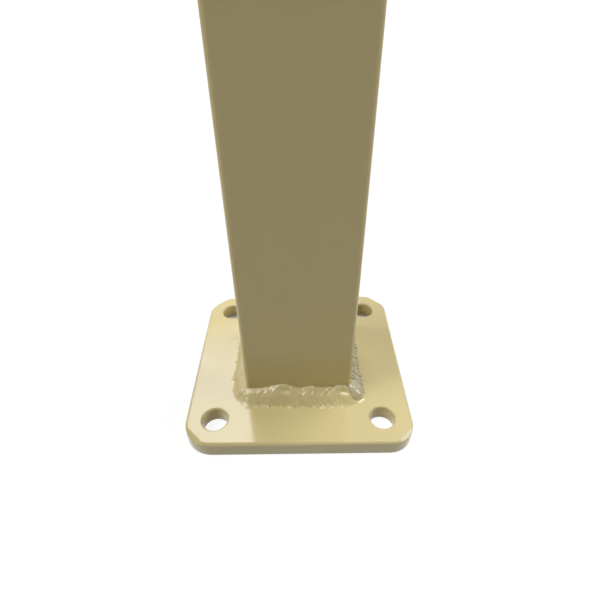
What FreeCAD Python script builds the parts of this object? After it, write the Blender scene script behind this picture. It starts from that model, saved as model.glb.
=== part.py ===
"""Base-plated aluminium fence post: square tube, drilled base plate, four weld runs and a plastic cap.

The origin is the middle of the plate's underside, +Z runs up the post and -Y is the front.
"""
import FreeCAD, Part
import math
import os
import Sketcher
from FreeCAD import Placement, Rotation, Vector

# Sizes that can be set by themselves, in millimetres, degrees or plain shares
SIZES = {
    "post_length": 1900.0,  # underside of the plate to the cut end of the tube
    "tube_width": 65.0,
    "tube_wall": 2.5,
    "tube_corner": 3.0,  # outer corner radius
    "tube_inner_corner": 0.8,
    "plate_margin": 35.0,  # plate beyond the tube on each side
    "plate_thickness": 10.0,
    "plate_corner": 16.5,  # corner radius in plan
    "plate_top_bevel": 1.5,
    "plate_bottom_bevel": 0.3,
    "facet_setback": 13.0,  # ground corner facet, along each edge of the top face
    "facet_slope": 45.0,
    "hole_diameter": 15.0,
    "hole_rim_bevel": 1.0,
    "hole_edge_distance": 17.5,  # hole centre to the plate's edge
    "front_leg": 9.5,
    "front_pitch": 5.8,
    "right_leg": 8.4,
    "right_pitch": 8.2,
    "back_leg": 8.2,
    "back_pitch": 9.2,
    "left_leg": 8.8,
    "left_pitch": 9.2,
    "corner_leg": 8.0,  # puddle that wraps each corner of the tube
    "ripple_lean": 32.0,  # from square across the run towards its start
    "ripple_step": 0.7,  # drop from one ripple to the next
    "ripple_nose": 0.45,  # how much a ripple's rear edge is rounded off
    "nose_share": 0.25,  # part of a ripple's thickness that its nose takes
    "ripple_uneven": 0.07,  # share by which the legs of one run vary
    "corner_thinning": 0.92,  # a run's end ripples beside a corner puddle, as a share of its leg
    "root_share": 0.2,  # how far the ripples are centred behind the root, as a share of the leg
    "root_fill": 2.2,  # reach of the metal under the ripples
    "cap_head": 3.5,
    "cap_bevel": 1.5,
    "cap_skirt_depth": 20.0,
    "cap_skirt_wall": 1.8,
    "cap_skirt_corner": 2.5,
    "cap_skirt_clearance": 1.6,  # skirt to the tube's inner wall
    "cap_fin_height": 1.2,
    "cap_fin_pitch": 7.0,
    "cap_fin_clearance": 0.1,  # fin to the tube's inner wall
}

# Sizes that follow from the ones above
DERIVED = {
    "plate_width": "=tube_width + 2 * plate_margin",
    "hole_pitch": "=plate_width - 2 * hole_edge_distance",
    "tube_length": "=post_length - plate_thickness",
    "tube_bore": "=tube_width - 2 * tube_wall",
    "skirt_width": "=tube_bore - 2 * cap_skirt_clearance",
    "skirt_bore": "=skirt_width - 2 * cap_skirt_wall",
    "skirt_bore_corner": "=cap_skirt_corner * (skirt_bore / skirt_width)",
    "fin_width": "=tube_bore - 2 * cap_fin_clearance",
    "weld_room": "=4 * max(front_leg; right_leg; back_leg; left_leg; corner_leg)",
}

# Two levels or radii closer than this are the same one
TOUCHING = 1e-4

# The runs in the order they are laid, each with its turn about the post
RUNS = [("front", 0), ("right", 90), ("back", 180), ("left", 270)]

# How quickly a run thickens away from its ends, and how its ripples' unevenness steps along
END_POWER = 6
UNEVEN_TURN = 2.4

# Section of a corner puddle, as shares of its leg outward and upward
PUDDLE_SECTION = [(1.0, 0.0), (0.88, 0.48), (0.48, 0.88), (0.0, 1.0)]


def make_sheet(doc):
    """The spreadsheet of sizes, driving ones first."""
    sheet = doc.addObject("Spreadsheet::Sheet", "Sizes")
    cells = {**SIZES, **DERIVED}
    for row, (alias, content) in enumerate(cells.items(), start=1):
        sheet.set(f"A{row}", alias)
        sheet.set(f"B{row}", str(content))
        sheet.setAlias(f"B{row}", alias)
    doc.recompute()
    return sheet


def size(doc, alias):
    return float(getattr(doc.Sizes, alias))


def bind(thing, **sizes):
    """Ties properties of an object to expressions over the sheet."""
    for prop, expression in sizes.items():
        thing.setExpression(prop.replace("__", "."), expression)


def origin_feature(body, role):
    return next(f for f in body.Origin.OriginFeatures if f.Role == role)


def new_sketch(body, name, role="XY_Plane"):
    sketch = body.newObject("Sketcher::SketchObject", name)
    sketch.AttachmentSupport = [(origin_feature(body, role), "")]
    sketch.MapMode = "FlatFace"
    return sketch


def hold(sketch, name, limit, expression):
    """Adds a dimension to a sketch and ties it to the sheet."""
    index = sketch.addConstraint(limit)
    sketch.renameConstraint(index, name)
    sketch.setExpression(f"Constraints.{name}", expression)


def rounded_square(sketch, name, width, corner):
    """A square with rounded corners about the sketch's origin; width and corner are sheet aliases."""
    half = size(sketch.Document, width) / 2
    radius = size(sketch.Document, corner)
    flat = half - radius
    first = sketch.GeometryCount
    turns = [Rotation(Vector(0, 0, 1), 90 * side) for side in range(4)]
    for turn in turns:
        line = Part.LineSegment(
            turn.multVec(Vector(-flat, -half, 0)), turn.multVec(Vector(flat, -half, 0))
        )
        sketch.addGeometry(line, False)
        middle = turn.multVec(Vector(flat, -flat, 0))
        circle = Part.Circle(middle, Vector(0, 0, 1), radius)
        start = math.radians(-90) + turn.Angle * turn.Axis.z
        sketch.addGeometry(Part.ArcOfCircle(circle, start, start + math.radians(90)), False)
    for side in range(4):
        line = first + 2 * side
        arc = line + 1
        following = first + 2 * ((side + 1) % 4)
        sketch.addConstraint(Sketcher.Constraint("Tangent", line, 2, arc, 1))
        sketch.addConstraint(Sketcher.Constraint("Tangent", arc, 2, following, 1))
        level = "Horizontal" if side % 2 == 0 else "Vertical"
        sketch.addConstraint(Sketcher.Constraint(level, line))
        if side:
            sketch.addConstraint(Sketcher.Constraint("Equal", first + 1, arc))
    centre, opposite = first + 1, first + 5
    sketch.addConstraint(Sketcher.Constraint("Symmetric", centre, 3, opposite, 3, -1, 1))
    bottom, right, top, left = first, first + 2, first + 4, first + 6
    across = Sketcher.Constraint("DistanceX", left, 2, right, 1, 2 * half)
    along = Sketcher.Constraint("DistanceY", bottom, 2, top, 1, 2 * half)
    hold(sketch, f"{name}_corner", Sketcher.Constraint("Radius", centre, radius), f"Sizes.{corner}")
    hold(sketch, f"{name}_width", across, f"Sizes.{width}")
    hold(sketch, f"{name}_depth", along, f"Sizes.{width}")


def pad(body, sketch, name, length, downward=False):
    feature = body.newObject("PartDesign::Pad", name)
    feature.Profile = sketch
    feature.Reversed = downward
    bind(feature, Length=length)
    sketch.Document.recompute()
    return feature


def edges_at(feature, height):
    """A feature's edges that lie level at a height, by name."""
    found = {}
    for number, edge in enumerate(feature.Shape.Edges, start=1):
        if max(abs(edge.BoundBox.ZMin - height), abs(edge.BoundBox.ZMax - height)) < TOUCHING:
            found[f"Edge{number}"] = edge
    return found


def rims_at(feature, height, radius):
    """Names of the round edges of one radius at a height."""
    rims = []
    for name, edge in edges_at(feature, height).items():
        if isinstance(edge.Curve, Part.Circle) and abs(edge.Curve.Radius - radius) < TOUCHING:
            rims.append(name)
    return rims


def bevel(body, base, name, edges, size):
    feature = body.newObject("PartDesign::Chamfer", name)
    feature.Base = (base, list(edges))
    bind(feature, Size=size)
    body.Document.recompute()
    return feature


def four_round(body, feature, name):
    """The feature at all four corners, turned about the post's axis."""
    pattern = body.newObject("PartDesign::PolarPattern", name)
    pattern.Originals = [feature]
    pattern.Axis = (origin_feature(body, "Z_Axis"), [""])
    pattern.Angle = 360
    pattern.Occurrences = 4
    body.Tip = pattern
    body.Document.recompute()
    return pattern


def make_tube(doc):
    """Extruded square tube, cut square at both ends, standing on the plate."""
    body = doc.addObject("PartDesign::Body", "post_tube")
    section = new_sketch(body, "tube_section")
    rounded_square(section, "outside", "tube_width", "tube_corner")
    rounded_square(section, "bore", "tube_bore", "tube_inner_corner")
    pad(body, section, "tube_extrusion", "Sizes.tube_length")
    bind(body, Placement__Base__z="Sizes.plate_thickness")
    return body


def make_plate(doc):
    """Base plate with rounded, facet-ground corners and four drilled bolt holes."""
    body = doc.addObject("PartDesign::Body", "base_plate")
    outline = new_sketch(body, "plate_outline")
    rounded_square(outline, "plate", "plate_width", "plate_corner")
    blank = pad(body, outline, "plate_blank", "Sizes.plate_thickness")
    thickness = size(doc, "plate_thickness")
    eased = bevel(body, blank, "top_edge", edges_at(blank, thickness), "Sizes.plate_top_bevel")
    bevel(body, eased, "bottom_edge", edges_at(eased, 0), "Sizes.plate_bottom_bevel")
    grind_corners(doc, body)
    drill_holes(doc, body, thickness)
    return body


def grind_corners(doc, body):
    """A flat facet across the top of each corner, cut by a wedge that runs across the diagonal."""
    sketch = new_sketch(body, "facet_wedge", "XZ_Plane")
    sketch.AttachmentOffset = Placement(Vector(), Rotation(Vector(0, 1, 0), 45))
    # The wedge starts a bevel's height above the top face, on the facet's own slope
    setback, slope = size(doc, "facet_setback"), math.tan(math.radians(size(doc, "facet_slope")))
    above = size(doc, "plate_top_bevel")
    start = (size(doc, "plate_width") - setback) / math.sqrt(2) - above / slope
    level = size(doc, "plate_thickness") + above
    reach, drop = setback + above / slope, setback * slope + above
    heel, top, toe = (start, level), (start + reach, level), (start + reach, level - drop)
    corners = [Vector(x, y, 0) for x, y in (heel, top, toe)]
    for corner, following in zip(corners, corners[1:] + corners[:1]):
        sketch.addGeometry(Part.LineSegment(corner, following), False)
    for line in range(3):
        sketch.addConstraint(Sketcher.Constraint("Coincident", line, 2, (line + 1) % 3, 1))
    sketch.addConstraint(Sketcher.Constraint("Horizontal", 0))
    sketch.addConstraint(Sketcher.Constraint("Vertical", 1))
    run_out = "Sizes.plate_top_bevel / tan(Sizes.facet_slope)"
    hold(
        sketch,
        "wedge_start",
        Sketcher.Constraint("DistanceX", -1, 1, 0, 1, start),
        f"(Sizes.plate_width - Sizes.facet_setback) / sqrt(2) - {run_out}",
    )
    hold(
        sketch,
        "wedge_level",
        Sketcher.Constraint("DistanceY", -1, 1, 0, 1, level),
        "Sizes.plate_thickness + Sizes.plate_top_bevel",
    )
    hold(
        sketch,
        "wedge_reach",
        Sketcher.Constraint("DistanceX", 0, 1, 0, 2, reach),
        f"Sizes.facet_setback + {run_out}",
    )
    hold(
        sketch,
        "wedge_drop",
        Sketcher.Constraint("DistanceY", 2, 1, 0, 1, drop),
        "Sizes.facet_setback * tan(Sizes.facet_slope) + Sizes.plate_top_bevel",
    )
    cut = body.newObject("PartDesign::Pocket", "corner_facet")
    cut.Profile = sketch
    cut.Midplane = True
    bind(cut, Length="2 * Sizes.facet_setback")
    doc.recompute()
    four_round(body, cut, "corner_facets")


def drill_holes(doc, body, thickness):
    """One drilled hole, repeated at the four corners, with both rims broken."""
    sketch = new_sketch(body, "hole_circle")
    place, radius = size(doc, "hole_pitch") / 2, size(doc, "hole_diameter") / 2
    sketch.addGeometry(Part.Circle(Vector(place, place, 0), Vector(0, 0, 1), radius), False)
    across = Sketcher.Constraint("DistanceX", -1, 1, 0, 3, place)
    along = Sketcher.Constraint("DistanceY", -1, 1, 0, 3, place)
    hold(sketch, "hole_x", across, "Sizes.hole_pitch / 2")
    hold(sketch, "hole_y", along, "Sizes.hole_pitch / 2")
    hold(sketch, "bore", Sketcher.Constraint("Diameter", 0, 2 * radius), "Sizes.hole_diameter")
    cut = body.newObject("PartDesign::Pocket", "bolt_hole")
    cut.Profile = sketch
    cut.Type = "ThroughAll"
    cut.Reversed = True
    doc.recompute()
    holes = four_round(body, cut, "bolt_holes")
    rims = [rim for level in (0, thickness) for rim in rims_at(holes, level, radius)]
    body.Tip = bevel(body, holes, "hole_rims", rims, "Sizes.hole_rim_bevel")


def make_cap(doc):
    """Push-in plastic cap: head flush with the tube, hollow skirt and grip fins inside it."""
    body = doc.addObject("PartDesign::Body", "post_cap")
    head_outline = new_sketch(body, "head_outline")
    rounded_square(head_outline, "head", "tube_width", "tube_corner")
    head = pad(body, head_outline, "head_blank", "Sizes.cap_head")
    bevel(body, head, "head_edge", edges_at(head, size(doc, "cap_head")), "Sizes.cap_bevel")
    skirt = new_sketch(body, "skirt_outline")
    rounded_square(skirt, "skirt", "skirt_width", "cap_skirt_corner")
    rounded_square(skirt, "hollow", "skirt_bore", "skirt_bore_corner")
    pad(body, skirt, "skirt_wall", "Sizes.cap_skirt_depth", downward=True)
    fin = new_sketch(body, "fin_outline")
    bind(fin, AttachmentOffset__Base__z="-Sizes.cap_fin_pitch")
    rounded_square(fin, "fin", "fin_width", "tube_inner_corner")
    rounded_square(fin, "hollow", "skirt_bore", "skirt_bore_corner")
    first = pad(body, fin, "fin_ring", "Sizes.cap_fin_height", downward=True)
    rings = body.newObject("PartDesign::LinearPattern", "fin_rings")
    rings.Originals = [first]
    rings.Direction = (origin_feature(body, "Z_Axis"), [""])
    rings.Reversed = True
    room = size(doc, "cap_skirt_depth") - size(doc, "cap_fin_height")
    rings.Occurrences = int(room // size(doc, "cap_fin_pitch"))
    bind(rings, Length=f"{rings.Occurrences - 1} * Sizes.cap_fin_pitch")
    body.Tip = rings
    bind(body, Placement__Base__z="Sizes.post_length")
    doc.recompute()
    return body


def ripple_leg(run, number, count):
    """Leg of one ripple: the run's own leg, a little uneven, thinning to the corners."""
    near_end = abs(2 * number / (count - 1) - 1) ** END_POWER
    swing = math.sin(UNEVEN_TURN * number + len(run))
    corner = f"{near_end:.4f} * Sizes.corner_thinning * Sizes.corner_leg"
    middle = f"{1 - near_end:.4f} * Sizes.{run}_leg * (1 + {swing:.4f} * Sizes.ripple_uneven)"
    return f"({corner} + {middle})"


def make_ripples(doc, run):
    """The overlapping leaned puddles of one run, in a frame with +Z along it and +X out of its face."""
    count = round(size(doc, "tube_width") / size(doc, f"{run}_pitch"))
    setback = f"sqrt(2) * Sizes.root_share * Sizes.{run}_leg"
    spacing = f"((Sizes.tube_width - Sizes.tube_corner) / {count})"
    lean = "Sizes.ripple_lean"
    nose_length = f"{spacing} * cos({lean}) * Sizes.nose_share"
    tail_length = f"{spacing} * cos({lean}) * (1 - Sizes.nose_share)"
    pieces = []
    for number in range(count):
        half_face = f"({ripple_leg(run, number, count)} / sqrt(2))"
        radius = f"hypot({half_face}; ({half_face} + {setback}) / cos({lean}))"
        rear = f"(-Sizes.tube_width / 2 + {number} * {spacing} + {radius} * sin({lean}))"
        nose = doc.addObject("Part::Cone", f"{run}_nose_{number}")
        tail = doc.addObject("Part::Cone", f"{run}_tail_{number}")
        for cone in (nose, tail):
            cone.Placement = Placement(Vector(), Rotation(Vector(0, 1, 0), size(doc, "ripple_lean")))
            bind(cone, Placement__Rotation__Angle=lean)
        bind(
            nose,
            Radius1=f"{radius} - Sizes.ripple_nose",
            Radius2=radius,
            Height=nose_length,
            Placement__Base__x=f"-{setback}",
            Placement__Base__z=rear,
        )
        bind(
            tail,
            Radius1=radius,
            Radius2=f"{radius} - {tail_length} * tan({lean}) - Sizes.ripple_step",
            Height=tail_length,
            Placement__Base__x=f"{nose_length} * sin({lean}) - {setback}",
            Placement__Base__z=f"{rear} + {nose_length} * cos({lean})",
        )
        pieces += [nose, tail]
    return pieces


def make_root(doc, run):
    """The weld metal under the ripples, along the root."""
    root = doc.addObject("Part::Cylinder", f"{run}_root")
    setback = f"sqrt(2) * Sizes.root_share * Sizes.{run}_leg"
    bind(
        root,
        Radius=f"{setback} + Sizes.root_fill",
        Height="Sizes.tube_width - 2 * Sizes.tube_corner",
        Placement__Base__x=f"-{setback}",
        Placement__Base__z="Sizes.tube_corner - Sizes.tube_width / 2",
    )
    return root


def make_run_span(doc, run):
    """The room that a run's ripples may fill: outside the root and short of the far corner."""
    span = doc.addObject("Part::Box", f"{run}_span")
    span.Placement = Placement(Vector(), Rotation(Vector(0, 0, 1), -45))
    bind(
        span,
        Length="Sizes.weld_room",
        Width="Sizes.weld_room",
        Height="Sizes.tube_width - Sizes.tube_corner + Sizes.corner_leg",
        Placement__Base__x="-sqrt(2) * Sizes.tube_wall",
        Placement__Base__z="-Sizes.tube_width / 2 - Sizes.corner_leg",
    )
    return span


def make_corner_puddle(doc, run):
    """The puddle that starts a run, wrapped round the tube's corner."""
    rings = []
    levels = zip(PUDDLE_SECTION, PUDDLE_SECTION[1:])
    for number, ((wide, low), (narrow, high)) in enumerate(levels):
        ring = doc.addObject("Part::Cone", f"{run}_start_{number}")
        bind(
            ring,
            Radius1=f"Sizes.tube_corner + Sizes.corner_leg * {wide}",
            Radius2=f"Sizes.tube_corner + Sizes.corner_leg * {narrow}",
            Height=f"Sizes.corner_leg * {high - low:.4f}",
            Placement__Base__x="Sizes.tube_corner - Sizes.tube_width / 2",
            Placement__Base__y="Sizes.tube_corner - Sizes.tube_width / 2",
            Placement__Base__z=f"Sizes.plate_thickness + Sizes.corner_leg * {low}",
        )
        rings.append(ring)
    # It starts where the run before it stops, so the two meet in a plane
    own_side = doc.addObject("Part::Box", f"{run}_own_side")
    bind(
        own_side,
        Length="2 * (Sizes.tube_corner + Sizes.corner_leg)",
        Width="Sizes.tube_corner + Sizes.corner_leg",
        Height="Sizes.plate_thickness + Sizes.corner_leg",
        Placement__Base__x="-Sizes.tube_width / 2 - Sizes.corner_leg",
        Placement__Base__y="-Sizes.tube_width / 2 - Sizes.corner_leg",
    )
    return common(doc, f"{run}_start", fuse(doc, f"{run}_corner", rings), own_side)


def fuse(doc, name, shapes):
    fused = doc.addObject("Part::MultiFuse", name)
    fused.Shapes = shapes
    return fused


def common(doc, name, base, tool):
    shared = doc.addObject("Part::Common", name)
    shared.Base = base
    shared.Tool = tool
    return shared


def make_run_metal(doc, run, turn):
    """All the metal of one run, still reaching into the tube and the plate."""
    filled = fuse(doc, f"{run}_filled", make_ripples(doc, run) + [make_root(doc, run)])
    bead = common(doc, f"{run}_bead", filled, make_run_span(doc, run))
    # Laid along +X at the front: +Z of the run's frame turns to +X and its face to forward and up
    face = 0.5**0.5
    lay = FreeCAD.Matrix(0, 0, 1, 0, -face, -face, 0, 0, face, -face, 0, 0, 0, 0, 0, 1)
    bead.Placement = Placement(Vector(), Rotation(lay))
    bind(bead, Placement__Base__y="-Sizes.tube_width / 2", Placement__Base__z="Sizes.plate_thickness")
    metal = fuse(doc, f"{run}_metal", [bead, make_corner_puddle(doc, run)])
    metal.Placement = Placement(Vector(), Rotation(Vector(0, 0, 1), turn))
    return metal


def make_joint_faces(doc):
    """The tube's outside and everything below the plate's top face, which the welds lie against."""
    post = doc.addObject("PartDesign::Body", "tube_outside")
    outline = new_sketch(post, "outside_outline")
    rounded_square(outline, "outside", "tube_width", "tube_corner")
    pad(post, outline, "outside_block", "Sizes.plate_thickness + Sizes.weld_room")
    below = doc.addObject("Part::Box", "below_plate_top")
    bind(
        below,
        Length="Sizes.plate_width",
        Width="Sizes.plate_width",
        Height="Sizes.weld_room",
        Placement__Base__x="-Sizes.plate_width / 2",
        Placement__Base__y="-Sizes.plate_width / 2",
        Placement__Base__z="Sizes.plate_thickness - Sizes.weld_room",
    )
    return fuse(doc, "joint_faces", [post, below])


def make_welds(doc):
    """Four fillet runs; each starts at the end of the one before it, all the way round."""
    faces = make_joint_faces(doc)
    welds = []
    for run, turn in RUNS:
        weld = doc.addObject("Part::Cut", f"weld_{run}")
        weld.Base = make_run_metal(doc, run, turn)
        weld.Tool = faces
        welds.append(weld)
    doc.recompute()
    return welds


def check(doc, nodes):
    """Stops where an object failed or a piece is not one sound solid."""
    for thing in doc.Objects:
        if "Invalid" in thing.State or "Error" in thing.State:
            raise RuntimeError(f"{thing.Name} failed: {thing.State}")
    for node in nodes:
        shape = node.Shape
        if shape.isNull() or not shape.isValid() or len(shape.Solids) != 1:
            raise RuntimeError(f"{node.Label} is not one sound solid")


def main():
    doc = FreeCAD.newDocument("fence_post")
    make_sheet(doc)
    nodes = [make_tube(doc), make_plate(doc), make_cap(doc)]
    nodes += make_welds(doc)
    doc.recompute()
    check(doc, nodes)
    os.makedirs("parts", exist_ok=True)
    for node in nodes:
        node.Shape.exportStep(f"parts/{node.Label}.step")
        print(node.Label, round(node.Shape.Volume), "mm3")


main()
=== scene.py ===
"""Looks of the base-plated fence post: drilled plate, square tube, four weld runs and push-in cap."""
import math

import bmesh
import bpy
from mathutils import Matrix, Vector


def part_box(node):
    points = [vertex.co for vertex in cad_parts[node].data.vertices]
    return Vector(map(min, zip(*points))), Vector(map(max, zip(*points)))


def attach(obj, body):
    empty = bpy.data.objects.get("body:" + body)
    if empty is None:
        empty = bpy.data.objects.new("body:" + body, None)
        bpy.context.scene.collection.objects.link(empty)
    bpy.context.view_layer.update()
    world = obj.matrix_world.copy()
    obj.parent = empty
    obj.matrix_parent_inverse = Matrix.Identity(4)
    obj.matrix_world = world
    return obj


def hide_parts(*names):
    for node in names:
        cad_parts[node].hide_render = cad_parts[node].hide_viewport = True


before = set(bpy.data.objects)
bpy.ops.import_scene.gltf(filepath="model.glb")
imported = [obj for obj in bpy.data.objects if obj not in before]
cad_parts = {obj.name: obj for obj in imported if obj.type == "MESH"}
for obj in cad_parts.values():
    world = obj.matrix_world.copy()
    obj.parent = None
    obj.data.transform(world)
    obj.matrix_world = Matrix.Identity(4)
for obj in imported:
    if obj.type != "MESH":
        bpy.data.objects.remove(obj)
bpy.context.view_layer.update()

# Base plate. A square of 10 mm aluminium plate, cut with rounded corners. Each corner has a
# flat facet ground across its top, and four holes are drilled for anchor bolts. Every upper
# edge is broken by a straight bevel before the plate is blasted and coated.
plate_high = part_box("base_plate")[1]
plate_half = plate_high.x
plate_top = plate_high.z
plate_bevel = 0.0015
underside_bevel = 0.0002
hole_place = 0.05
hole_radius = 0.0075
hole_bevel = 0.0009
hole_steps = 72
# The upper bevel is this share narrower at the right than at the left
bevel_thinning = 0.3
# Each corner's radius, how far its ground facet is set back, and how soft the facet's ends are
corner_signs = ((1, -1), (1, 1), (-1, 1), (-1, -1))
corner_radii = (0.0148, 0.016, 0.0168, 0.0174)
facet_setbacks = (0.0119, 0.013, 0.0132, 0.0142)
facet_softness = (0.0004, 0.0012, 0.003, 0.0004)


def square_directions(half, radii, arc_steps, side_steps):
    """Unit directions from the middle to evenly spread points of a rounded square."""
    directions = []
    for side in range(4):
        radius = radii[(side + 1) % 4]
        start, stop = radii[side] - half, half - radius
        points = [Vector((half, start + (stop - start) * step / side_steps)) for step in range(side_steps)]
        for step in range(arc_steps):
            turn = math.radians(90 * step / arc_steps)
            points.append(Vector((stop + radius * math.cos(turn), stop + radius * math.sin(turn))))
        turned = Matrix.Rotation(math.radians(90 * side), 2)
        directions += [(turned @ point).normalized() for point in points]
    return directions


def square_reach(direction, half, corner):
    """Distance from the middle of a rounded square to its outline, along one direction."""
    wide = max(abs(direction.x), abs(direction.y))
    narrow = min(abs(direction.x), abs(direction.y))
    centre = half - corner
    if narrow / wide * half <= centre:
        return half / wide
    onto = centre * (wide + narrow)
    return onto + math.sqrt(max(corner**2 - 2 * centre**2 + onto**2, 0))


def eased_least(first, second, ease):
    """The lesser of two distances, rounded over where they meet, as a coat rounds an edge."""
    share = max(ease - abs(first - second), 0) / ease
    return min(first, second) - share * share * ease / 4


def plate_ring(mesh, directions, inset, drop, facet_margin=0.0, below=0.0):
    """One ring of the plate's edge, clipped by the corner facets. The bevel thins to the right."""
    ring = []
    for way in directions:
        corner = corner_signs.index((1 if way.x > 0 else -1, 1 if way.y > 0 else -1))
        share = 1 - bevel_thinning * min(max(way.x + 0.5, 0.0), 1.0)
        depth = drop * share + below
        reach = square_reach(way, plate_half - inset * share, corner_radii[corner] - inset * share)
        facet = 2 * plate_half - facet_setbacks[corner] + depth * math.sqrt(2) - facet_margin
        facet /= abs(way.x) + abs(way.y)
        spot = way * eased_least(reach, facet, facet_softness[corner])
        ring.append(mesh.verts.new((spot.x, spot.y, plate_top - depth)))
    return ring


def circle_ring(mesh, centre, radius, height):
    turns = [2 * math.pi * step / hole_steps for step in range(hole_steps)]
    return [
        mesh.verts.new((centre[0] + radius * math.cos(turn), centre[1] + radius * math.sin(turn), height))
        for turn in turns
    ]


def skin_between(mesh, rings):
    """Quads between each ring and the next."""
    for lower, upper in zip(rings, rings[1:]):
        for step in range(len(lower)):
            following = (step + 1) % len(lower)
            mesh.faces.new((lower[step], lower[following], upper[following], upper[step]))


def ring_edges(mesh, ring):
    return [mesh.edges.get((ring[step - 1], ring[step])) for step in range(len(ring))]


def finished_object(name, mesh):
    """Turns the normals outwards and links the mesh as one smooth object at the origin."""
    bmesh.ops.recalc_face_normals(mesh, faces=mesh.faces)
    data = bpy.data.meshes.new(name)
    mesh.to_mesh(data)
    mesh.free()
    data.shade_smooth()
    thing = bpy.data.objects.new(name, data)
    bpy.context.scene.collection.objects.link(thing)
    return thing


def rolled_edge(bevel, steps, roundness):
    """(inset, drop) pairs over a broken edge, from a straight bevel (0) to a full round (1)."""
    pairs = []
    for step in range(steps + 1):
        turn = math.radians(90 * step / steps)
        flat = step / steps
        inset = roundness * (1 - math.sin(turn)) + (1 - roundness) * (1 - flat)
        drop = roundness * (1 - math.cos(turn)) + (1 - roundness) * flat
        pairs.append((bevel * inset, bevel * drop))
    return pairs


plate_mesh = bmesh.new()
ways = square_directions(plate_half, corner_radii, arc_steps=72, side_steps=10)
# Rings close beside each bevel keep the flat faces shaded flat
top_margins = (0.0006, 0.0002)
underside_margin = 0.0004
hole_margin = 0.0003
# Close rings below the bevel follow each facet down the wall
wall_ring_count = 13
wall_ring_step = 0.00025
edge_rings = [plate_ring(plate_mesh, ways, plate_bevel + margin, 0, 2 * margin) for margin in top_margins]
for inset, drop in rolled_edge(plate_bevel, steps=8, roundness=0.25):
    edge_rings.append(plate_ring(plate_mesh, ways, inset, drop))
for step in range(wall_ring_count):
    edge_rings.append(plate_ring(plate_mesh, ways, 0, plate_bevel, below=wall_ring_step * (step + 1)))
for inset, drop in reversed(rolled_edge(underside_bevel, steps=3, roundness=1.0)):
    edge_rings.append(plate_ring(plate_mesh, ways, inset, 0, below=plate_top - drop))
edge_rings.append(plate_ring(plate_mesh, ways, underside_bevel + underside_margin, 0, below=plate_top))
skin_between(plate_mesh, edge_rings)

hole_tops, hole_feet = [], []
for hole_x, hole_y in corner_signs:
    centre = (hole_x * hole_place, hole_y * hole_place)
    hole_rings = [circle_ring(plate_mesh, centre, hole_radius + hole_bevel + hole_margin, plate_top)]
    for inset, drop in rolled_edge(hole_bevel, steps=6, roundness=0.3):
        hole_rings.append(circle_ring(plate_mesh, centre, hole_radius + inset, plate_top - drop))
    hole_rings.append(circle_ring(plate_mesh, centre, hole_radius, plate_top / 2))
    for inset, drop in reversed(rolled_edge(underside_bevel, steps=3, roundness=1.0)):
        hole_rings.append(circle_ring(plate_mesh, centre, hole_radius + inset, drop))
    foot_radius = hole_radius + underside_bevel + underside_margin
    hole_rings.append(circle_ring(plate_mesh, centre, foot_radius, 0))
    skin_between(plate_mesh, hole_rings)
    hole_tops.append(hole_rings[0])
    hole_feet.append(hole_rings[-1])
for outline, holes in ((edge_rings[0], hole_tops), (edge_rings[-1], hole_feet)):
    rim = ring_edges(plate_mesh, outline)
    for hole in holes:
        rim += ring_edges(plate_mesh, hole)
    bmesh.ops.triangle_fill(plate_mesh, use_beauty=True, use_dissolve=False, edges=rim)
plate = finished_object("plate_dressed", plate_mesh)


def node_in(tree, kind, sockets=None, **settings):
    """Adds one node to a tree, sets its options, and fills its sockets with values or links."""
    node = tree.nodes.new(kind)
    for name, value in settings.items():
        setattr(node, name, value)
    for key, value in (sockets or {}).items():
        if isinstance(value, bpy.types.NodeSocket):
            tree.links.new(value, node.inputs[key])
        else:
            node.inputs[key].default_value = value
    return node


# The powder coat's own surface, used by every coated piece: a faint mottle in the colour, the
# orange peel that the melted powder leaves, and a few nibs of dust under the film.
coat_surface = bpy.data.node_groups.new("powder_coat_surface", "ShaderNodeTree")
for name, kind, value in (
    ("Coat", "NodeSocketColor", (0.7, 0.585, 0.315, 1)),
    ("Mottle", "NodeSocketFloat", 0.05),
    ("Gloss roughness", "NodeSocketFloat", 0.16),
    ("Peel", "NodeSocketFloat", 1.0),
):
    coat_surface.interface.new_socket(name, in_out="INPUT", socket_type=kind).default_value = value
for name, kind in (
    ("Color", "NodeSocketColor"),
    ("Roughness", "NodeSocketFloat"),
    ("Height", "NodeSocketFloat"),
):
    coat_surface.interface.new_socket(name, in_out="OUTPUT", socket_type=kind)
given = coat_surface.nodes.new("NodeGroupInput").outputs
taken = coat_surface.nodes.new("NodeGroupOutput").inputs
on_piece = node_in(coat_surface, "ShaderNodeTexCoord").outputs["Object"]
drift = node_in(coat_surface, "ShaderNodeTexNoise", {"Vector": on_piece, "Scale": 16.0, "Detail": 3.0})
shade = node_in(
    coat_surface,
    "ShaderNodeMath",
    {0: drift.outputs[0], 1: given["Mottle"], 2: 1.0},
    operation="MULTIPLY_ADD",
)
centred = node_in(
    coat_surface,
    "ShaderNodeMath",
    {0: given["Mottle"], 1: -0.5, 2: shade.outputs[0]},
    operation="MULTIPLY_ADD",
)
mottled = node_in(
    coat_surface, "ShaderNodeVectorMath", {0: given["Coat"], "Scale": centred.outputs[0]}, operation="SCALE"
)
coat_surface.links.new(mottled.outputs[0], taken["Color"])
cloud = node_in(coat_surface, "ShaderNodeTexNoise", {"Vector": on_piece, "Scale": 70.0, "Detail": 2.0})
duller = node_in(
    coat_surface,
    "ShaderNodeMapRange",
    {"Value": cloud.outputs[0], "From Min": 0.3, "From Max": 0.7, "To Min": -0.02, "To Max": 0.03},
)
rough = node_in(
    coat_surface, "ShaderNodeMath", {0: given["Gloss roughness"], 1: duller.outputs[0]}, operation="ADD"
)
coat_surface.links.new(rough.outputs[0], taken["Roughness"])
peel = node_in(coat_surface, "ShaderNodeTexNoise", {"Vector": on_piece, "Scale": 520.0, "Detail": 1.0})
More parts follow.
